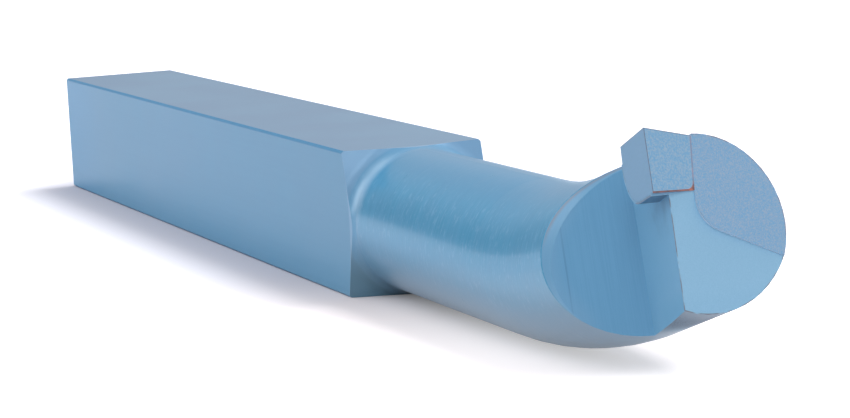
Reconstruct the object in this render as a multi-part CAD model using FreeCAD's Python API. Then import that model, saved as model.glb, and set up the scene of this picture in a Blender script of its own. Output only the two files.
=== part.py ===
import FreeCAD, Part
import math
import os

V = FreeCAD.Vector

# Boring tool with a brazed carbide tip, lying on one side of its square shank.
# X runs along the shank towards the head and Z is up. The chip face looks towards -Y, and
# the bend lifts the cutting corner towards +Z. The origin is the middle of the side that it
# lies on. Lengths are in millimetres and angles in degrees.

# Whole tool
overall_length = 210.0      # rear end to the leading end of the cutting edge
neck_reach = 77.2           # shoulder to the leading end of the cutting edge

# Square shank
shank_side = 16.0
long_edge_chamfer = 0.25
rear_edge_chamfer = 0.3

# Turned shoulder and neck
shoulder_slope = 25.0       # lean of the turned shoulder from square
shoulder_fillet = 2.5
neck_diameter = 15.72

# Bend between neck and head
bend_angle = 16.6
bend_radius = 86.9

# Head, measured along and across its own axis from the end of the bend
head_length = 14.5          # to the leading end of the cutting edge
gullet_setback = 13.65      # leading end of the cutting edge back to the valley of the gullet
gullet_depth = 1.0          # valley in front of the head axis
ramp_angle = 45.0
strip_angle = 9.3

# Edge of the ramp, ground off by hand: wide at the far end and narrow along the upper side
edge_break_far = 0.75
edge_break_side = 0.15
edge_break_turn = 5.0       # turns the widest place upwards
edge_break_far_slope = 16.0
edge_break_side_slope = 35.0
edge_break_depth = 1.5      # room for the grinding below the ramp
edge_break_over = 0.2       # and above it

# Carbide tip
tip_length = 8.1
tip_width = 5.72
tip_base = 2.96             # head axis up to the lower side of the tip
tip_corner_radius = 4.0     # rounded rear corner
tip_seat_edge = 0.6         # rounding of the edge that lies in the corner of the seat
chip_face_height = 4.83     # leading end of the cutting edge in front of the head axis
tip_thickness = 3.95        # at the leading end of the cutting edge
back_rake = 6.0
side_rake = 2.5
seat_tilt = 8.0

# Grinding of the tip and of the steel beside it
edge_setback = 5.0          # lean of the cutting edge from square to the head axis
front_clearance = 10.0
side_clearance = 11.5

# Relief milled into the steel below the tip
relief_lean = 5.7           # lean towards the rear at its lower end
relief_clearance = 1.6
relief_recess = 0.65        # behind the leading end of the cutting edge
relief_drop = 2.89          # lower side of the tip down to the corner of the relief
relief_corner_radius = 3.0
relief_slope = 25.0

# Brazed seat
braze_gap = 0.15
seat_lip = 0.15             # steel left standing round the tip

# Room for cutting shapes that pass right through the part
clear = 3.0 * shank_side


def tangent(angle):
    return math.tan(math.radians(angle))


shank_length = overall_length - neck_reach
neck_radius = neck_diameter / 2
bend_sine = math.sin(math.radians(bend_angle))
bend_cosine = math.cos(math.radians(bend_angle))
head_reach = head_length * bend_cosine - tip_base * bend_sine
bend_start = neck_reach - bend_radius * bend_sine - head_reach
bend_end = V(neck_reach - head_reach, 0, bend_radius * (1 - bend_cosine))
head_place = FreeCAD.Placement(bend_end, FreeCAD.Rotation(V(0, 1, 0), -bend_angle))
rest_place = FreeCAD.Placement(V(shank_length / 2, 0, shank_side / 2), FreeCAD.Rotation())

# Faces of the head, each as a point on it and the direction that it looks in
edge_end = V(head_length, -chip_face_height, tip_base)
seat_back = -chip_face_height + tip_thickness + braze_gap
chip_face = (edge_end, V(-tangent(back_rake), -1, tangent(side_rake)))
tip_back = (V(head_length, seat_back - braze_gap, tip_base), V(-tangent(back_rake), -1, tangent(seat_tilt)))
seat_floor = (V(head_length, seat_back, tip_base), tip_back[1])
front_grind = (edge_end, V(1, tangent(front_clearance), tangent(edge_setback)))
side_grind = (edge_end + V(0, 0, tip_width), V(0, tangent(side_clearance), 1))
relief_face = (edge_end - V(relief_recess, 0, 0), V(1, tangent(relief_clearance), -tangent(relief_lean)))


def beyond(face):
    """Large block that starts at a face and fills the side that the face looks towards."""
    point, direction = face
    block = Part.makeBox(clear, clear, clear, V(-clear / 2, -clear / 2, 0))
    block.Placement = FreeCAD.Placement(point, FreeCAD.Rotation(V(0, 0, 1), direction))
    return block


def rounded_corner(before, corner, after, radius):
    """Arc that rounds a corner of an outline, with the points where it starts and ends."""
    to_before = (before - corner).normalize()
    to_after = (after - corner).normalize()
    half = to_before.getAngle(to_after) / 2
    start = corner + to_before * (radius / math.tan(half))
    end = corner + to_after * (radius / math.tan(half))
    bisector = (to_before + to_after).normalize()
    middle = corner + bisector * (radius / math.sin(half) - radius)
    return Part.Arc(start, middle, end).toShape(), start, end


def rounded_outline(points, radius):
    """Closed flat face through the points, with the corner at the second one rounded."""
    arc, start, end = rounded_corner(points[0], points[1], points[2], radius)
    edges = [Part.makeLine(points[0], start), arc, Part.makeLine(end, points[2])]
    last = points[2:] + points[:1]
    edges += [Part.makeLine(a, b) for a, b in zip(last, last[1:])]
    return Part.Face(Part.Wire(edges))


# Steel blank: square bar, turned shoulder and neck, bend and round head

def turned_neck():
    """What the lathe leaves: the leaning shoulder, its fillet and the neck."""
    corner = shank_side / math.sqrt(2)
    lean = tangent(shoulder_slope)
    rim = V((corner - shank_side) * lean, 0, shank_side)
    foot = V((corner - neck_radius) * lean, 0, neck_radius)
    outline = [rim, foot, V(bend_start, 0, neck_radius), V(bend_start, 0, 0),
               V(-shank_length, 0, 0), V(-shank_length, 0, shank_side)]
    return rounded_outline(outline, shoulder_fillet).revolve(V(0, 0, 0), V(1, 0, 0), 360)


def square_bar():
    """Square section with chamfered edges, long enough to hold the neck as well."""
    half = shank_side / 2
    bar = Part.makeBox(shank_length + bend_start, shank_side, shank_side, V(-shank_length, -half, -half))
    long_edges = [e for e in bar.Edges if abs(e.tangentAt(e.FirstParameter).x) > 0.5]
    bar = bar.makeChamfer(long_edge_chamfer, long_edges)
    rear_edges = [e for e in bar.Edges if e.CenterOfMass.x < -shank_length + long_edge_chamfer / 2]
    return bar.makeChamfer(rear_edge_chamfer, rear_edges)


def bend():
    circle = Part.makeCircle(neck_radius, V(bend_start, 0, 0), V(1, 0, 0))
    return Part.Face(Part.Wire(circle)).revolve(V(bend_start, 0, bend_radius), V(0, -1, 0), bend_angle)


def head_bar():
    """Round bar past the bend, drawn along the head's own axis and left too long."""
    return Part.makeCylinder(neck_radius, head_length + shank_side, V(0, 0, 0), V(1, 0, 0))


# Shapes that are cut from the head, drawn in its own directions

def tip_outline(grow):
    """The tip's outline made larger all round, as a prism right across the head."""
    rear = head_length - tip_length - grow
    base = tip_base - grow
    outline = [V(clear, -clear, base), V(rear, -clear, base), V(rear, -clear, clear), V(clear, -clear, clear)]
    return rounded_outline(outline, tip_corner_radius + grow).extrude(V(0, 2 * clear, 0))


def gullet():
    """V-shaped clearing behind and below the tip: ramp on one side, strip on the other."""
    valley = V(head_length - gullet_setback, -gullet_depth, -clear)
    ramp_end = valley + V(-clear, -clear * tangent(ramp_angle), 0)
    strip_end = valley + V(clear, -clear * tangent(strip_angle), 0)
    wire = Part.makePolygon([valley, strip_end, ramp_end, valley])
    return Part.Face(wire).extrude(V(0, 0, 2 * clear))


def ramp_edge_break():
    """What is ground off the ramp's edge: all that lies outside a tapered oval on the ramp."""
    ramp_sine = math.sin(math.radians(ramp_angle))
    up_ramp = V(-math.cos(math.radians(ramp_angle)), -ramp_sine, 0)
    out = V(ramp_sine, up_ramp.x, 0)
    far = FreeCAD.Rotation(out, edge_break_turn).multVec(up_ramp)
    side = far.cross(out)
    middle = V(head_length - gullet_setback + gullet_depth / tangent(ramp_angle), 0, 0)
    middle = middle - far * edge_break_far - V(0, 0, edge_break_side)
    ovals = []
    for lift in (-edge_break_depth, edge_break_over):
        centre = middle + out * lift
        far_end = far * (neck_radius / ramp_sine - lift / tangent(edge_break_far_slope))
        side_end = side * (neck_radius - lift / tangent(edge_break_side_slope))
        ovals.append(Part.Wire(Part.Ellipse(centre + far_end, centre + side_end, centre).toShape()))
    kept = Part.makeLoft(ovals, True, True)
    thickness = edge_break_depth + edge_break_over
    slab = Part.makeCylinder(clear / 2, thickness, middle - out * edge_break_depth, out)
    valley = V(head_length - gullet_setback, -gullet_depth, 0)
    return slab.cut(kept).common(beyond((valley, up_ramp)))


def relief():
    """Shallow step below the tip, bounded by an upright line, a round corner and a slope."""
    top = tip_base - braze_gap
    corner = V(0, seat_back, tip_base - relief_drop)
    slope_end = corner + V(0, clear, -clear * tangent(relief_slope))
    outline = [V(0, seat_back, top), corner, slope_end, V(0, clear, -clear),
               V(0, -clear, -clear), V(0, -clear, top)]
    region = rounded_outline(outline, relief_corner_radius).extrude(V(clear, 0, 0))
    return region.common(beyond(relief_face))


# The three pieces

def carbide_tip():
    """Plate with its seated edge rounded, then ground on the chip face and both flanks."""
    plate = tip_outline(0).common(beyond(tip_back))
    back = max(plate.Faces, key=lambda f: f.CenterOfMass.y)
    near = 0.9 * clear
    seated = [e for e in back.Edges if e.CenterOfMass.x < near and e.CenterOfMass.z < near]
    plate = plate.makeFillet(tip_seat_edge, seated)
    return plate.cut([beyond(chip_face), beyond(front_grind), beyond(side_grind)]).Solids[0]


def blank():
    """The bar before it is cut, seen in the head's own directions."""
    bar = turned_neck().common(square_bar()).fuse(bend())
    bar.Placement = head_place.inverse()
    return bar.fuse(head_bar()).removeSplitter().Solids[0]


def steel_body():
    """All of the steel, with the seat of the tip still full."""
    rim = tip_outline(braze_gap + seat_lip)
    cuts = [gullet().cut(rim), ramp_edge_break().cut(rim), rim.common(beyond(chip_face)),
            beyond(front_grind), relief()]
    return blank().cut(cuts).Solids[0]


steel = steel_body()
seat = tip_outline(braze_gap).common(beyond(seat_floor))
tip = carbide_tip()
pieces = {
    "shank": steel.cut(seat),
    "carbide_tip": tip,
    "braze_joint": steel.common(seat).cut([tip, beyond(side_grind)]),
}
os.makedirs("parts", exist_ok=True)
for name, shape in pieces.items():
    piece = shape.Solids[0]
    piece.Placement = rest_place.multiply(head_place).multiply(piece.Placement)
    piece.exportStep("parts/" + name + ".step")
    print(name, shape.isValid(), len(shape.Solids), round(piece.Volume, 2), len(piece.Faces), piece.BoundBox)
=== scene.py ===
import math

import bpy
from mathutils import Matrix, Vector

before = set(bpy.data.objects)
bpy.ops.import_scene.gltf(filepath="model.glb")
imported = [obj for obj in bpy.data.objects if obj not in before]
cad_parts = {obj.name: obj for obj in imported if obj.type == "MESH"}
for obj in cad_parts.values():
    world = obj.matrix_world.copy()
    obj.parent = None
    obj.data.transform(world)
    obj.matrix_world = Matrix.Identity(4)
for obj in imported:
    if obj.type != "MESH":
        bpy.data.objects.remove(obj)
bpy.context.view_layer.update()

# Sizes of the part that its finishes follow, in millimetres and radians, as in the part's source
SHANK_SIDE = 16.0
SHANK_LENGTH = 132.8
NECK_REACH = 77.2
SHOULDER_SLOPE = math.radians(25.0)
NECK_RADIUS = 7.86
BEND_ANGLE = math.radians(16.6)
BEND_RADIUS = 86.9
HEAD_LENGTH = 14.5
VALLEY = (0.85, -1.0, 0.0)
RAMP_ANGLE = math.radians(45.0)
STRIP_ANGLE = math.radians(9.3)
TIP_BASE = 2.96
TIP_WIDTH = 5.72
CHIP_FACE_HEIGHT = 4.83
BACK_RAKE = math.radians(6.0)
SIDE_RAKE = math.radians(2.5)
FRONT_CLEARANCE = math.radians(10.0)
EDGE_SETBACK = math.radians(5.0)
SIDE_CLEARANCE = math.radians(11.5)
RELIEF_CLEARANCE = math.radians(1.6)
RELIEF_LEAN = math.radians(5.7)
RELIEF_RECESS = 0.65

HALF_SIDE = SHANK_SIDE / 2
SHANK_END = SHANK_LENGTH / 2

# Where the cone of the shoulder meets the axis and the neck, measured along the bar
SHOULDER_CONE = SHANK_END + SHANK_SIDE / math.sqrt(2) * math.tan(SHOULDER_SLOPE)
SHOULDER_FOOT = SHOULDER_CONE - NECK_RADIUS * math.tan(SHOULDER_SLOPE)

# Directions of the head: along its axis and upwards across it
HEAD_ALONG = Vector((math.cos(BEND_ANGLE), 0.0, math.sin(BEND_ANGLE)))
HEAD_UP = Vector((-math.sin(BEND_ANGLE), 0.0, math.cos(BEND_ANGLE)))
HEAD_REACH = HEAD_LENGTH * math.cos(BEND_ANGLE) - TIP_BASE * math.sin(BEND_ANGLE)
BEND_END = Vector((SHANK_END + NECK_REACH - HEAD_REACH, 0.0,
                   HALF_SIDE + BEND_RADIUS * (1 - math.cos(BEND_ANGLE))))
BEND_START_X = BEND_END.x - BEND_RADIUS * math.sin(BEND_ANGLE)

# Faces of the head: a point on each and the direction that it looks in, both seen from the head
EDGE_END = (HEAD_LENGTH, -CHIP_FACE_HEIGHT, TIP_BASE)
FRONT = (EDGE_END, (1.0, math.tan(FRONT_CLEARANCE), math.tan(EDGE_SETBACK)))
RELIEF = ((HEAD_LENGTH - RELIEF_RECESS, -CHIP_FACE_HEIGHT, TIP_BASE),
          (1.0, math.tan(RELIEF_CLEARANCE), -math.tan(RELIEF_LEAN)))
CHIP = (EDGE_END, (-math.tan(BACK_RAKE), -1.0, math.tan(SIDE_RAKE)))
FLANK = ((HEAD_LENGTH, -CHIP_FACE_HEIGHT, TIP_BASE + TIP_WIDTH),
         (0.0, math.tan(SIDE_CLEARANCE), 1.0))
RAMP = (VALLEY, (math.sin(RAMP_ANGLE), -math.cos(RAMP_ANGLE), 0.0))
STRIP = (VALLEY, (-math.sin(STRIP_ANGLE), -math.cos(STRIP_ANGLE), 0.0))


def linear(r, g, b):
    """Scene-linear colour of an 8-bit screen colour."""
    def one(c):
        c = c / 255.0
        return c / 12.92 if c <= 0.04045 else ((c + 0.055) / 1.055) ** 2.4
    return (one(r), one(g), one(b), 1.0)


# Colours of the finishes, as they look on a screen. A and B are the two shades of one surface.
FLAT_A = linear(84, 149, 187)
FLAT_B = linear(88, 153, 190)
# Painted light: paler lacquer for the low half of the square part, against its shade near the
# floor.
FLAT_LOW_PAINTED_LIGHT = linear(93, 159, 196)
# Painted reflection: greyer lacquer for the top of the square part, as the sheen of pale
# surroundings.
FLAT_TOP_SHEEN_A = linear(94, 134, 166)
FLAT_TOP_SHEEN_B = linear(102, 142, 172)
LONG_EDGE = linear(50, 134, 180)
ROUND_A = linear(64, 149, 191)
ROUND_B = linear(80, 159, 200)
SHOULDER = linear(118, 163, 198)
# Painted shade: darker lacquer for the low part of the shoulder.
SHOULDER_LOW_SHADE = linear(103, 141, 162)
MILLED_A = linear(99, 157, 196)
MILLED_B = linear(106, 164, 203)
BROKEN = linear(116, 166, 202)
# Painted highlight: greyish band for the outer rim of the broken edge.
BROKEN_RIM_HIGHLIGHT = linear(124, 146, 170)
# Painted light: near white for the step wall, which faces down into shade.
STEP_PAINTED_LIGHT = linear(186, 214, 234)
HEEL_FRONT = linear(130, 150, 168)
HEEL_REAR = linear(88, 111, 132)
# Painted shade: dark blue for the shaded underside of the ledge below the tip and the strip under
# it.
UNDER_TIP_SHADE = linear(62, 100, 134)
GROUND_A = linear(108, 163, 203)
GROUND_B = linear(148, 172, 196)
SMOOTH_A = linear(134, 184, 216)
SMOOTH_B = linear(142, 191, 222)
CARBIDE_A = linear(110, 164, 203)
CARBIDE_B = linear(143, 175, 200)
RAKE_A = linear(86, 144, 182)
RAKE_B = linear(94, 149, 187)
BRAZE_DARK = linear(92, 68, 64)
BRAZE_BRIGHT = linear(186, 108, 74)
BRAZE_LACQUERED = linear(92, 120, 146)

# Thin layers over them: a colour, and how much of it shows at most
FLAT_REAR = (linear(76, 152, 196), 0.7)
FLAT_LINE = (linear(80, 140, 182), 0.12)
ROUND_PATCH = (linear(84, 150, 192), 0.25)
ROUND_DASH = (linear(124, 180, 214), 0.48)
# Painted shading: darker, more saturated blue for the top of the round bar.
ROUND_TOP_SHADING = (linear(58, 134, 176), 0.8)
# Painted reflection: paler, greyer lacquer for the underside of the round bar, as the floor's
# reflection.
ROUND_UNDER_REFLECTION = (linear(126, 164, 190), 0.9)
# Painted highlight: a pale streak for the fillet between shoulder and neck.
SHOULDER_FILLET_HIGHLIGHT = (linear(158, 198, 226), 0.75)
MILLED_SCORE = (linear(72, 118, 156), 0.5)
# Painted light: the ramp turns lighter towards its far rim, as the light on a rounded blend.
MILLED_RIM_PAINTED_LIGHT = (BROKEN, 0.6)
STRIP_TINT = (linear(122, 184, 220), 0.35)
STRIP_SHADE = (UNDER_TIP_SHADE, 0.45)
BROKEN_EDGE = (BROKEN, 0.8)
WORN = (linear(110, 92, 92), 0.75)
CARBIDE_EDGE = (linear(92, 84, 92), 0.6)

# Limits in millimetres between which a share goes from 0 to 1.
# By distance from a face of the head
ON_FACE = (0.05, 0.02)
NEAR_FACE = (0.10, 0.03)
BRAZE_ON_FRONT = (0.10, 0.04)
# By place along the bar
REAR_STRETCH = (-42.0, -62.0)
SHOULDER_FRONT = (SHANK_END + 5.0, SHANK_END + 1.5)
FILLET_REAR = (SHOULDER_FOOT - 0.1, SHOULDER_FOOT + 1.2)
FILLET_FRONT = (SHOULDER_FOOT + 3.6, SHOULDER_FOOT + 1.4)
# By where a cone as steep as the shoulder meets the axis, if it passes through the point
TURNED = (SHOULDER_CONE - 0.08, SHOULDER_CONE - 0.03)
# By height over the floor
LOWER_HALF = (HALF_SIDE, 0.0)
UPPER_HALF = (HALF_SIDE, HALF_SIDE + 1.0)
# By how far that height is from the shank's axis, without and with the distance across it
TOP_OR_UNDERSIDE = (HALF_SIDE - 0.03, HALF_SIDE - 0.01)
LONG_CHAMFER = (SHANK_SIDE - 0.37, SHANK_SIDE - 0.27)
# By height over the bent axis
FILLET_LOW = (0.0, 3.5)
FILLET_HIGH = (7.9, 6.2)
TOP_OF_BAR = (4.5, 7.5)
UNDER_BAR = (0.5, -6.5)
SHOULDER_UNDER = (0.0, -6.0)
# By distance from the bent axis
SHOULDER_OUTSIDE = (NECK_RADIUS + 0.1, NECK_RADIUS + 0.8)
INSIDE_BAR = (NECK_RADIUS - 0.05, NECK_RADIUS - 0.08)
RAMP_RIM = (NECK_RADIUS - 1.9, NECK_RADIUS - 0.3)
BROKEN_EDGE_RIM = (NECK_RADIUS - 0.35, NECK_RADIUS - 0.10)
WORN_RIM = (NECK_RADIUS - 0.12, NECK_RADIUS - 0.05)
# By place along the head
HEAD_END = (9.0, 9.5)
STRIP_START = (0.7, 0.9)
RAMP_FRONT = (0.6, 0.4)
RAMP_REAR = (-11.0, -10.0)
RAMP_FAR_PART = (-2.0, -4.0)
SCORED_PART = (-3.0, -5.0)
LEDGE_START = (4.0, 5.0)
SHADE_START = (5.0, 7.5)
HEEL_START = (1.0, 7.0)
HEEL_REARWARDS = (12.5, 8.0)
# By place across the head
CHIP_SIDE = (-0.85, -0.95)
BRAZE_CLEANER = (-2.4, -1.0)
# By height over the head's axis
RELIEF_TOP = (3.1, 2.9)
LEDGE_TOP = (TIP_BASE + 0.1, TIP_BASE - 0.1)
LEDGE_BOTTOM = (TIP_BASE - 0.8, TIP_BASE - 0.6)
SHADE_UNDER_TIP = (TIP_BASE - 4.2, TIP_BASE - 0.6)
BROKEN_EDGE_TOP = (1.5, 4.5)
HEEL_UNDER = (-5.0, -7.0)
BRAZE_LOWER_PART = (TIP_BASE + 0.9, TIP_BASE + 0.1)

# Marks: waves of noise in a millimetre along each axis, then its detail and roughness
RINGS = ((4.5, 0.12, 0.12), 4.0, 0.6)               # from turning
DASHES = ((2.6, 0.9, 0.9), 3.0, 0.65)
MILL_LINES = ((9.0, 9.0, 0.12), 3.0, 0.6)
MILL_SCORES = ((5.5, 5.5, 0.03), 1.0, 0.5)
LONG_LINES = ((0.05, 2.2, 2.2), 3.0, 0.5)
GRAIN = ((8.0, 8.0, 8.0), 3.0, 0.6)                 # from grinding
CLOUDS = ((0.07, 0.07, 0.07), 2.0, 0.5)
PATCHES = ((0.35, 0.35, 0.35), 3.0, 0.6)
WORN_SPOTS = ((0.9, 0.9, 0.9), 2.0, 0.55)
CARBIDE_GRAIN = ((6.0, 6.0, 6.0), 3.0, 0.6)
RAKE_LINES = ((1.2, 1.2, 5.0), 3.0, 0.6)
BRAZE_SPOTS = ((1.6, 1.6, 1.6), 3.0, 0.6)

# Limits of the noise between which a share goes from 0 to 1
CLOUD_SHADES = (0.3, 0.7)
LONG_LINE_SHADES = (0.35, 0.7)
RING_SHADES = (0.35, 0.65)
PATCH_SHADES = (0.35, 0.65)
DASH_SHADES = (0.54, 0.68)
MILL_LINE_SHADES = (0.3, 0.7)
MILL_SCORE_SHADES = (0.62, 0.74)
STRIP_SHADE_PATCHES = (0.3, 0.6)
HEEL_SPECKS = (0.35, 0.6)
GROUND_SHADES = (0.34, 0.68)
SMOOTH_SHADES = (0.2, 0.8)
WORN_SHADES = (0.38, 0.6)
CARBIDE_SHADES = (0.38, 0.64)
RAKE_SHADES = (0.3, 0.7)
BRAZE_SHADES = (0.3, 0.6)
BRAZE_LACQUER_SHADES = (0.45, 0.7)

# Shares that are less than the whole. Pairs are what a 0 and a 1 are turned into.
SHOULDER_FRONT_SHARE = 0.6
MILL_LINE_SHARE = 0.6
MILL_PATCH_SHARE = 0.4
HEEL_SPECK_SHARES = (0.6, 1.0)
BRAZE_CLEAN_SHARES = (0.35, 1.0)
BRAZE_SMEAR_SHARES = (0.65, 0.1)

# Roughness where the noise is 0 and 1
FLAT_ROUGHNESS = (0.36, 0.46)
TURNED_ROUGHNESS = (0.24, 0.38)
CUT_ROUGHNESS = (0.42, 0.58)
HEEL_ROUGHNESS = 0.8
CARBIDE_ROUGHNESS = (0.45, 0.6)
RAKE_ROUGHNESS = (0.3, 0.4)
BRAZE_ROUGHNESS = (0.35, 0.6)

# Height of the marks beside that of the grain
LONG_LINE_HEIGHT = 0.2
RING_HEIGHT = 0.5
DASH_HEIGHT = 0.5
MILL_LINE_HEIGHT = 0.4
RAKE_LINE_HEIGHT = 0.4

# What is the same all over a finish, and the height of its marks in metres with their strength
LACQUER_GLOSS = {"Metallic": 0.08, "Coat Weight": 0.16, "Coat Roughness": 0.12,
                 "Specular IOR Level": 0.2}
CARBIDE_GLOSS = {"Metallic": 0.15, "Specular IOR Level": 0.3}
BRAZE_GLOSS = {"Metallic": 0.2}
LACQUER_BUMP = (0.000015, 0.6)
CARBIDE_BUMP = (0.00002, 0.6)
BRAZE_BUMP = (0.00004, 0.6)

MILLIMETRES = (1000.0, 1000.0, 1000.0)              # in a metre

# Places of a Mix node's two inputs and of its output, for plain numbers and for colours
MIX_SOCKETS = {"FLOAT": (2, 3, 0), "RGBA": (6, 7, 2)}


class Tree:
    """Builds the node tree of a material or world, socket by socket."""

    def __init__(self, owner, output):
        owner.use_nodes = True
        self.nodes, self.links = owner.node_tree.nodes, owner.node_tree.links
        self.nodes.clear()
        self.surface = self.nodes.new(output).inputs["Surface"]

    def put(self, socket, value):
        if isinstance(value, bpy.types.NodeSocket):
            self.links.new(value, socket)
        else:
            socket.default_value = value

    def add(self, kind, *values):
        """New node, with values or links in its first inputs."""
        node = self.nodes.new(kind)
        for socket, value in zip(node.inputs, values):
            self.put(socket, value)
        return node

    def math(self, operation, *values):
        node = self.add("ShaderNodeMath", *values)
        node.operation = operation
        return node.outputs[0]

    def vector(self, operation, *values):
        node = self.add("ShaderNodeVectorMath", *values)
        node.operation = operation
        return node.outputs["Value" if operation in ("DOT_PRODUCT", "LENGTH") else "Vector"]

    def combine(self, x, y, z):
        return self.add("ShaderNodeCombineXYZ", x, y, z).outputs[0]

    def split(self, vector):
        return self.add("ShaderNodeSeparateXYZ", vector).outputs

    def ramp(self, value, start, end, low, high):
        """Smooth ramp from low to high while the value goes from start up to end."""
        node = self.add("ShaderNodeMapRange", value, start, end, low, high)
        node.interpolation_type = "SMOOTHSTEP"
        return node.outputs["Result"]

    def fade(self, value, start, end):
        """0 before start and 1 after end, smooth between them; start may be above end."""
        if start > end:
            return self.ramp(value, end, start, 1.0, 0.0)
        return self.ramp(value, start, end, 0.0, 1.0)

    def blend(self, share, first, second, kind="FLOAT"):
        """The first where the share is 0 and the second where it is 1, for plain numbers."""
        in_first, in_second, out = MIX_SOCKETS[kind]
        node = self.add("ShaderNodeMix", share)
        node.data_type = kind
        self.put(node.inputs[in_first], first)
        self.put(node.inputs[in_second], second)
        return node.outputs[out]

    def mix(self, share, first, second):
        """The same as blend, for colours."""
        return self.blend(share, first, second, "RGBA")

    def all_of(self, *shares):
        total = shares[0]
        for share in shares[1:]:
            total = self.math("MULTIPLY", total, share)
        return total

    def any_of(self, *shares):
        most = shares[0]
        for share in shares[1:]:
            most = self.math("MAXIMUM", most, share)
        return most

    def rest_of(self, share):
        return self.math("SUBTRACT", 1.0, share)

    def layer(self, below, thin, *shares):
        """Lays a thin layer over a colour where all the shares are 1."""
        colour, most = thin
        return self.mix(self.all_of(*shares, most), below, colour)


class Finish(Tree):
    """Material of a piece, which knows where each point is on the tool and on its head."""

    def __init__(self, name):
        self.material = bpy.data.materials.new(name)
        super().__init__(self.material, "ShaderNodeOutputMaterial")
        self.shader = self.nodes.new("ShaderNodeBsdfPrincipled")
        self.put(self.surface, self.shader.outputs[0])
        metres = self.nodes.new("ShaderNodeTexCoord").outputs["Object"]
        self.place = self.vector("MULTIPLY", metres, MILLIMETRES)
        self.x, self.y, self.z = self.split(self.place)
        offset = self.vector("SUBTRACT", self.place, tuple(BEND_END))
        self.along = self.vector("DOT_PRODUCT", offset, tuple(HEAD_ALONG))
        self.across = self.split(offset)[1]
        self.up = self.vector("DOT_PRODUCT", offset, tuple(HEAD_UP))
        self.head = self.combine(self.along, self.across, self.up)

    def noise(self, vector, waves, detail, roughness):
        """Noise from 0 to 1, with so many waves in a millimetre along each axis."""
        node = self.add("ShaderNodeTexNoise", self.vector("MULTIPLY", vector, waves))
        for name, number in (("Scale", 1.0), ("Detail", detail), ("Roughness", roughness)):
            node.inputs[name].default_value = number
        return node.outputs[0]

    def by_face(self, face, limits):
        """Share that follows the distance from a face of the head."""
        point, direction = face
        normal = Vector(direction).normalized()
        reach = self.vector("DOT_PRODUCT", self.head, tuple(normal))
        distance = self.math("ABSOLUTE", self.math("SUBTRACT", reach, normal.dot(Vector(point))))
        return self.fade(distance, *limits)

    def shade(self, inputs):
        for name, value in inputs.items():
            self.put(self.shader.inputs[name], value)

    def bump(self, height, distance, strength):
        node = self.nodes.new("ShaderNodeBump")
        for name, value in (("Strength", strength), ("Distance", distance), ("Height", height)):
            self.put(node.inputs[name], value)
        self.put(self.shader.inputs["Normal"], node.outputs[0])


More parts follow.
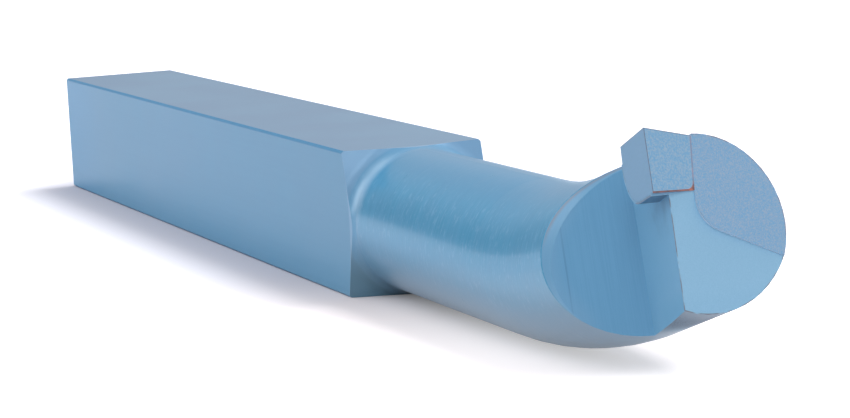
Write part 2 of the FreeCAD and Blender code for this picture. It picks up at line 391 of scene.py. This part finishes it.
class LacqueredSteel(Finish):
    """Blue lacquer over steel, with the marks of each machining step under it."""

    def __init__(self):
        super().__init__("blue_lacquer_on_steel")
        self.arc, self.height = self.place_on_axis()
        self.radius = self.vector("LENGTH", self.combine(0.0, self.y, self.height))
        self.find_surfaces()
        self.find_edges()
        self.make_marks()
        self.shade({"Base Color": self.colour(), "Roughness": self.roughness(), **LACQUER_GLOSS})
        self.bump(self.relief_height(), *LACQUER_BUMP)

    def place_on_axis(self):
        """Distance along the bent axis of the bar and height over it, in millimetres."""
        rise = self.math("SUBTRACT", self.z, HALF_SIDE)
        bent = self.math("SUBTRACT", self.x, BEND_START_X)
        past_start = self.math("MAXIMUM", self.math("DIVIDE", bent, BEND_RADIUS), 0.0)
        turn = self.math("MINIMUM", past_start, BEND_ANGLE)
        arc = self.math("ADD", self.x, self.math("MULTIPLY", rise, turn))
        to_centre = self.combine(bent, 0.0, self.math("SUBTRACT", rise, BEND_RADIUS))
        in_bend = self.math("SUBTRACT", BEND_RADIUS, self.vector("LENGTH", to_centre))
        height = self.blend(self.math("GREATER_THAN", bent, 0.0), rise, in_bend)
        height = self.blend(self.math("GREATER_THAN", self.along, 0.0), height, self.up)
        return arc, height

    def find_surfaces(self):
        """Shares that are 1 on one kind of surface each."""
        self.head_end = self.fade(self.along, *HEAD_END)
        self.chip_side = self.fade(self.across, *CHIP_SIDE)
        self.front = self.all_of(self.by_face(FRONT, ON_FACE), self.head_end)
        self.relief = self.all_of(self.by_face(RELIEF, ON_FACE), self.head_end,
                                  self.fade(self.up, *RELIEF_TOP), self.rest_of(self.front))
        self.ramp_face = self.all_of(self.by_face(RAMP, ON_FACE), self.chip_side)
        self.strip = self.all_of(self.by_face(STRIP, ON_FACE), self.chip_side,
                                 self.fade(self.along, *STRIP_START))
        self.milled = self.any_of(self.ramp_face, self.strip)
        self.cut = self.any_of(self.front, self.relief, self.milled)
        self.uncut = self.rest_of(self.cut)
        leaning = self.math("MULTIPLY", self.radius, math.tan(SHOULDER_SLOPE))
        self.turned = self.fade(self.math("ADD", self.x, leaning), *TURNED)
        # Painted highlight: the shoulder's paler colour is carried onto the first millimetres of
        # the neck.
        neck_start_highlight = self.all_of(self.fade(self.x, *SHOULDER_FRONT), SHOULDER_FRONT_SHARE)
        self.shoulder = self.any_of(self.fade(self.radius, *SHOULDER_OUTSIDE), neck_start_highlight)
        self.heel = self.all_of(self.fade(self.along, *HEEL_START), self.fade(self.up, *HEEL_UNDER))

    def find_edges(self):
        """Shares that are 1 on one narrow edge, step or ledge each."""
        inside = self.fade(self.radius, *INSIDE_BAR)
        self.broken = self.all_of(inside, self.chip_side, self.fade(self.along, *RAMP_FRONT),
                                  self.fade(self.along, *RAMP_REAR), self.uncut)
        self.off_middle = self.math("ABSOLUTE", self.math("SUBTRACT", self.z, HALF_SIDE))
        both_ways = self.math("ADD", self.math("ABSOLUTE", self.y), self.off_middle)
        self.long_edge = self.all_of(self.fade(both_ways, *LONG_CHAMFER), self.rest_of(self.turned),
                                     self.fade(self.z, *UPPER_HALF))
        self.step = self.all_of(self.head_end, inside, self.uncut)
        self.ledge = self.all_of(self.fade(self.along, *LEDGE_START), self.chip_side, self.uncut,
                                 self.fade(self.up, *LEDGE_TOP), self.fade(self.up, *LEDGE_BOTTOM))

    def make_marks(self):
        """Rings from turning, lines from milling, grain from grinding, and uneven lacquer."""
        around = self.combine(self.arc, self.y, self.height)
        self.rings = self.noise(around, *RINGS)
        self.dashes = self.noise(around, *DASHES)
        self.lines = self.noise(self.head, *MILL_LINES)
        self.scores = self.noise(self.head, *MILL_SCORES)
        self.long_lines = self.noise(self.place, *LONG_LINES)
        self.grain = self.noise(self.place, *GRAIN)
        self.clouds = self.noise(self.place, *CLOUDS)
        self.patches = self.noise(self.place, *PATCHES)

    def flat_colour(self):
        """Square part: painted paler low down against its shade near the floor, more saturated at
        the rear, and painted greyer on top as a painted reflection.
        """
        clouds = self.fade(self.clouds, *CLOUD_SHADES)
        colour = self.mix(clouds, FLAT_A, FLAT_B)
        # Painted light: the lower half is painted paler, against the shade that falls there near
        # the floor.
        colour = self.mix(self.fade(self.z, *LOWER_HALF), colour, FLAT_LOW_PAINTED_LIGHT)
        colour = self.layer(colour, FLAT_REAR, self.fade(self.x, *REAR_STRETCH))
        colour = self.layer(colour, FLAT_LINE, self.fade(self.long_lines, *LONG_LINE_SHADES))
        # Painted reflection: the top of the square part is painted greyer, as its sheen.
        on_top = self.fade(self.off_middle, *TOP_OR_UNDERSIDE)
        colour = self.mix(on_top, colour, self.mix(clouds, FLAT_TOP_SHEEN_A, FLAT_TOP_SHEEN_B))
        return self.mix(self.long_edge, colour, LONG_EDGE)

    def round_colour(self):
        """Turned and bent part, with painted shading on top and a painted reflection underneath,
        its shoulder with painted shade low down, a painted highlight on its fillet, and the
        underside of the head.
        """
        colour = self.mix(self.fade(self.rings, *RING_SHADES), ROUND_A, ROUND_B)
        colour = self.layer(colour, ROUND_PATCH, self.fade(self.patches, *PATCH_SHADES))
        colour = self.layer(colour, ROUND_DASH, self.fade(self.dashes, *DASH_SHADES))
        # Painted shading: the top of the bar is painted a darker, more saturated blue.
        colour = self.layer(colour, ROUND_TOP_SHADING, self.fade(self.height, *TOP_OF_BAR))
        # Painted reflection: the underside of the bar is painted paler and greyer, as the floor's
        # reflection.
        colour = self.layer(colour, ROUND_UNDER_REFLECTION, self.fade(self.height, *UNDER_BAR))
        # Painted shade: the low part of the shoulder is painted darker.
        shoulder = self.mix(self.fade(self.height, *SHOULDER_UNDER), SHOULDER, SHOULDER_LOW_SHADE)
        colour = self.mix(self.shoulder, colour, shoulder)
        # Painted highlight: a pale streak is painted on the fillet between shoulder and neck.
        colour = self.layer(colour, SHOULDER_FILLET_HIGHLIGHT, self.fade(self.x, *FILLET_REAR),
                            self.fade(self.x, *FILLET_FRONT), self.fade(self.height, *FILLET_LOW),
                            self.fade(self.height, *FILLET_HIGH))
        specks = self.blend(self.fade(self.grain, *HEEL_SPECKS), *HEEL_SPECK_SHARES)
        heel = self.mix(self.fade(self.along, *HEEL_REARWARDS), HEEL_FRONT, HEEL_REAR)
        return self.mix(self.all_of(self.heel, specks), colour, heel)

    def milled_colour(self):
        """Ramp, scored, and painted lighter towards its far rim in the broken edge's colour as
        painted light, and strip, with painted shade below the tip.
        """
        lines = self.math("MULTIPLY", self.fade(self.lines, *MILL_LINE_SHADES), MILL_LINE_SHARE)
        patches = self.math("MULTIPLY", self.patches, MILL_PATCH_SHARE)
        colour = self.mix(self.math("ADD", lines, patches), MILLED_A, MILLED_B)
        colour = self.layer(colour, MILLED_SCORE, self.fade(self.scores, *MILL_SCORE_SHADES),
                            self.fade(self.along, *SCORED_PART))
        # Painted light: the ramp is painted lighter towards its far rim, as the light on a rounded
        # blend into the broken edge.
        colour = self.layer(colour, MILLED_RIM_PAINTED_LIGHT, self.fade(self.radius, *RAMP_RIM),
                            self.fade(self.along, *RAMP_FAR_PART))
        # Painted shade: the strip below the tip is painted darker in patches.
        colour = self.layer(colour, STRIP_SHADE, self.strip, self.fade(self.along, *SHADE_START),
                            self.fade(self.up, *SHADE_UNDER_TIP),
                            self.fade(self.patches, *STRIP_SHADE_PATCHES))
        return self.mix(self.strip, colour, self.layer(colour, STRIP_TINT))

    def worn_share(self):
        """Sharp edges of the head, where the lacquer is worn to a brown line."""
        near_front, near_relief, near_strip = (self.by_face(face, NEAR_FACE)
                                               for face in (FRONT, RELIEF, STRIP))
        rim = self.all_of(self.fade(self.radius, *WORN_RIM), self.any_of(near_front, near_relief),
                          self.head_end)
        corner = self.all_of(near_strip, near_relief, self.head_end)
        spots = self.fade(self.noise(self.place, *WORN_SPOTS), *WORN_SHADES)
        return self.all_of(self.any_of(rim, corner), spots)

    def colour(self):
        colour = self.mix(self.turned, self.flat_colour(), self.round_colour())
        colour = self.layer(colour, BROKEN_EDGE, self.broken)
        # Painted highlight: a greyish band on the outer rim of the broken edge, upper part only.
        rim = self.all_of(self.broken, self.fade(self.radius, *BROKEN_EDGE_RIM),
                          self.fade(self.up, *BROKEN_EDGE_TOP))
        colour = self.mix(rim, colour, BROKEN_RIM_HIGHLIGHT)
        # Painted light: the step wall between relief and ground face faces down into shade and is
        # painted near white.
        colour = self.mix(self.step, colour, STEP_PAINTED_LIGHT)
        # Painted shade: the underside of the ledge below the tip, which lies in shade, is painted
        # dark blue.
        colour = self.mix(self.ledge, colour, UNDER_TIP_SHADE)
        colour = self.mix(self.milled, colour, self.milled_colour())
        smooth = self.mix(self.fade(self.grain, *SMOOTH_SHADES), SMOOTH_A, SMOOTH_B)
        colour = self.mix(self.relief, colour, smooth)
        ground = self.mix(self.fade(self.grain, *GROUND_SHADES), GROUND_A, GROUND_B)
        colour = self.mix(self.front, colour, ground)
        return self.layer(colour, WORN, self.worn_share())

    def roughness(self):
        flat = self.blend(self.clouds, *FLAT_ROUGHNESS)
        rough = self.blend(self.turned, flat, self.blend(self.rings, *TURNED_ROUGHNESS))
        rough = self.blend(self.cut, rough, self.blend(self.grain, *CUT_ROUGHNESS))
        return self.blend(self.heel, rough, HEEL_ROUGHNESS)

    def relief_height(self):
        """Height of the marks on each kind of surface."""
        flat = self.math("MULTIPLY", self.long_lines, LONG_LINE_HEIGHT)
        turned = self.math("ADD", self.math("MULTIPLY", self.rings, RING_HEIGHT),
                           self.math("MULTIPLY", self.dashes, DASH_HEIGHT))
        height = self.blend(self.turned, flat, turned)
        lines = self.math("MULTIPLY", self.lines, MILL_LINE_HEIGHT)
        return self.blend(self.cut, height, self.blend(self.milled, self.grain, lines))


class GroundCarbide(Finish):
    """Sintered carbide, smooth on the chip face and finely ground on its flanks."""

    def __init__(self):
        super().__init__("ground_carbide")
        chip = self.by_face(CHIP, ON_FACE)
        grain = self.noise(self.place, *CARBIDE_GRAIN)
        lines = self.noise(self.head, *RAKE_LINES)
        ground = self.mix(self.fade(grain, *CARBIDE_SHADES), CARBIDE_A, CARBIDE_B)
        smooth = self.mix(self.fade(lines, *RAKE_SHADES), RAKE_A, RAKE_B)
        colour = self.mix(chip, ground, smooth)
        front, rake, flank = (self.by_face(face, NEAR_FACE) for face in (FRONT, CHIP, FLANK))
        edge = self.any_of(self.all_of(front, rake), self.all_of(front, flank),
                           self.all_of(rake, flank))
        colour = self.layer(colour, CARBIDE_EDGE, edge)
        rough = self.blend(chip, self.blend(grain, *CARBIDE_ROUGHNESS),
                           self.blend(lines, *RAKE_ROUGHNESS))
        self.shade({"Base Color": colour, "Roughness": rough, **CARBIDE_GLOSS})
        height = self.blend(chip, grain, self.math("MULTIPLY", lines, RAKE_LINE_HEIGHT))
        self.bump(height, *CARBIDE_BUMP)


class Braze(Finish):
    """Copper-coloured braze, bare where the front was ground and under lacquer elsewhere."""

    def __init__(self):
        super().__init__("copper_braze")
        spots = self.noise(self.place, *BRAZE_SPOTS)
        cleaner = self.blend(self.fade(self.across, *BRAZE_CLEANER), *BRAZE_CLEAN_SHARES)
        clean = self.all_of(self.fade(spots, *BRAZE_SHADES), cleaner)
        bare = self.mix(clean, BRAZE_DARK, BRAZE_BRIGHT)
        smeared = self.blend(self.fade(self.up, *BRAZE_LOWER_PART), *BRAZE_SMEAR_SHARES)
        bare = self.mix(smeared, bare, GROUND_A)
        lacquered = self.mix(self.fade(spots, *BRAZE_LACQUER_SHADES), RAKE_A, BRAZE_LACQUERED)
        colour = self.mix(self.by_face(FRONT, BRAZE_ON_FRONT), lacquered, bare)
        rough = self.blend(spots, *BRAZE_ROUGHNESS)
        self.shade({"Base Color": colour, "Roughness": rough, **BRAZE_GLOSS})
        self.bump(spots, *BRAZE_BUMP)


def dress(node, finish):
    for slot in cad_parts[node].material_slots:
        slot.material = finish.material


dress("shank", LacqueredSteel())
dress("carbide_tip", GroundCarbide())
dress("braze_joint", Braze())


# Stage, in metres and watts

WHITE = (1.0, 1.0, 1.0, 1.0)
FLOOR_SIDE = 12.0
FLOOR_HEIGHT = -0.00002                     # just clear of the part's lowest face
# Painted shadow tint: the floor is lilac by the shank and pink by the head, colours that show only
# in its shadows.
FLOOR_BY_SHANK = (0.66, 0.67, 0.74, 1.0)
FLOOR_BY_HEAD = (0.74, 0.685, 0.69, 1.0)
FLOOR_TINT_TURNS = (0.03, 0.09)             # from one to the other, along X

# The floor's own white is weaker near a line under the tool, so that the shadow there stays.
# Each part of it comes in between two distances, from nothing up to its strength.
LINE_MIDDLE = 0.0275
LINE_HALF_LENGTH = 0.0865
GLOW_AROUND = (0.009, 0.024, 0.0, 0.5)      # away from the line
GLOW_DISTANT = (0.06, 0.40, 0.0, 0.5)       # far away from it
# Painted light: this part of the glow lightens the floor's shadow under the neck and head.
GLOW_AHEAD = (0.045, 0.120, 0.0, 0.5)       # along X, from the shoulder to the head
GLOW_REFLECTED = 0.75                       # share of it that glossy rays see

# Sky over the far side, darker low down on the near side
SKY_COLOUR = (1.0, 0.94, 0.95, 1.0)
SKY_BRIGHTEST = (0.0, 0.45, 0.89)           # direction
SKY_STRENGTHS = (-0.25, 0.35, 0.06, 0.7)    # limits by that direction, lowest and highest

# Square lamps: place, the point that each looks at, side and power
LAMPS = {
    "key": ((0.73, -0.34, 0.56), (0.08, 0.0, 0.01), 0.5, 2.5),
    "far_side": ((-0.05, 0.38, 0.80), (0.03, 0.0, 0.01), 0.35, 4.0),
    "near_side": ((-0.35, -0.60, 0.28), (0.066, 0.0, 0.01), 0.45, 1.28),
}

# Camera that was fitted to the photo, with its sensor and lens in millimetres
CAMERA_PLACE = (0.387087, -0.108959, 0.050982)
CAMERA_VIEW = Vector((-0.93856, 0.32234, -0.12328))
CAMERA_RIGHT = Vector((0.33079, 0.94209, -0.05514))
CAMERA_SENSOR = 36.0
CAMERA_LENS = 132.743
CAMERA_CLIP = (0.01, 20.0)


def floor_glow(tree, x, y):
    """Strength of the floor's own white, which only camera rays and glossy rays see."""
    off_middle = tree.math("ABSOLUTE", tree.math("SUBTRACT", x, LINE_MIDDLE))
    past_end = tree.math("MAXIMUM", tree.math("SUBTRACT", off_middle, LINE_HALF_LENGTH), 0.0)
    reach = tree.vector("LENGTH", tree.combine(past_end, y, 0.0))
    near = tree.math("ADD", tree.ramp(reach, *GLOW_AROUND), tree.ramp(reach, *GLOW_DISTANT))
    total = tree.math("ADD", near, tree.ramp(x, *GLOW_AHEAD))
    rays = tree.nodes.new("ShaderNodeLightPath").outputs
    seen = tree.math("MULTIPLY_ADD", rays["Is Glossy Ray"], GLOW_REFLECTED, rays["Is Camera Ray"])
    return tree.math("MULTIPLY", seen, total)


def white_floor():
    bpy.ops.mesh.primitive_plane_add(size=FLOOR_SIDE, location=(0.0, 0.0, FLOOR_HEIGHT))
    floor = bpy.context.object
    floor.name = "studio_floor"
    material = bpy.data.materials.new("studio_white")
    tree = Tree(material, "ShaderNodeOutputMaterial")
    x, y, _ = tree.split(tree.nodes.new("ShaderNodeTexCoord").outputs["Object"])
    # Painted shadow tint, lilac by the shank and pink by the head.
    tint = tree.mix(tree.fade(x, *FLOOR_TINT_TURNS), FLOOR_BY_SHANK, FLOOR_BY_HEAD)
    diffuse = tree.add("ShaderNodeBsdfDiffuse", tint)
    glow = tree.add("ShaderNodeEmission", WHITE, floor_glow(tree, x, y))
    added = tree.add("ShaderNodeAddShader", diffuse.outputs[0], glow.outputs[0])
    tree.put(tree.surface, added.outputs[0])
    floor.data.materials.append(material)


def world_light():
    world = bpy.data.worlds.new("studio")
    bpy.context.scene.world = world
    tree = Tree(world, "ShaderNodeOutputWorld")
    direction = tree.nodes.new("ShaderNodeTexCoord").outputs["Generated"]
    towards = tree.vector("DOT_PRODUCT", direction, SKY_BRIGHTEST)
    sky = tree.add("ShaderNodeBackground", SKY_COLOUR, tree.ramp(towards, *SKY_STRENGTHS))
    white = tree.add("ShaderNodeBackground", WHITE)
    seen = tree.nodes.new("ShaderNodeLightPath").outputs["Is Camera Ray"]
    mixed = tree.add("ShaderNodeMixShader", seen, sky.outputs[0], white.outputs[0])
    tree.put(tree.surface, mixed.outputs[0])


def soft_light(name, place, target, side, power):
    data = bpy.data.lights.new(name, "AREA")
    data.shape = "SQUARE"
    data.size = side
    data.energy = power
    light = bpy.data.objects.new(name, data)
    light.location = place
    light.rotation_euler = (Vector(target) - Vector(place)).to_track_quat("-Z", "Y").to_euler()
    bpy.context.collection.objects.link(light)


def photo_camera():
    data = bpy.data.cameras.new("camera")
    data.sensor_width = CAMERA_SENSOR
    data.lens = CAMERA_LENS
    data.clip_start, data.clip_end = CAMERA_CLIP
    camera = bpy.data.objects.new("camera", data)
    bpy.context.collection.objects.link(camera)
    up = CAMERA_RIGHT.cross(CAMERA_VIEW)
    turn = Matrix((CAMERA_RIGHT, up, -CAMERA_VIEW)).transposed()
    camera.matrix_world = Matrix.Translation(CAMERA_PLACE) @ turn.to_4x4()
    bpy.context.scene.camera = camera


white_floor()
world_light()
for name, lamp in LAMPS.items():
    soft_light(name, *lamp)
photo_camera()
bpy.context.scene.view_settings.view_transform = "Standard"
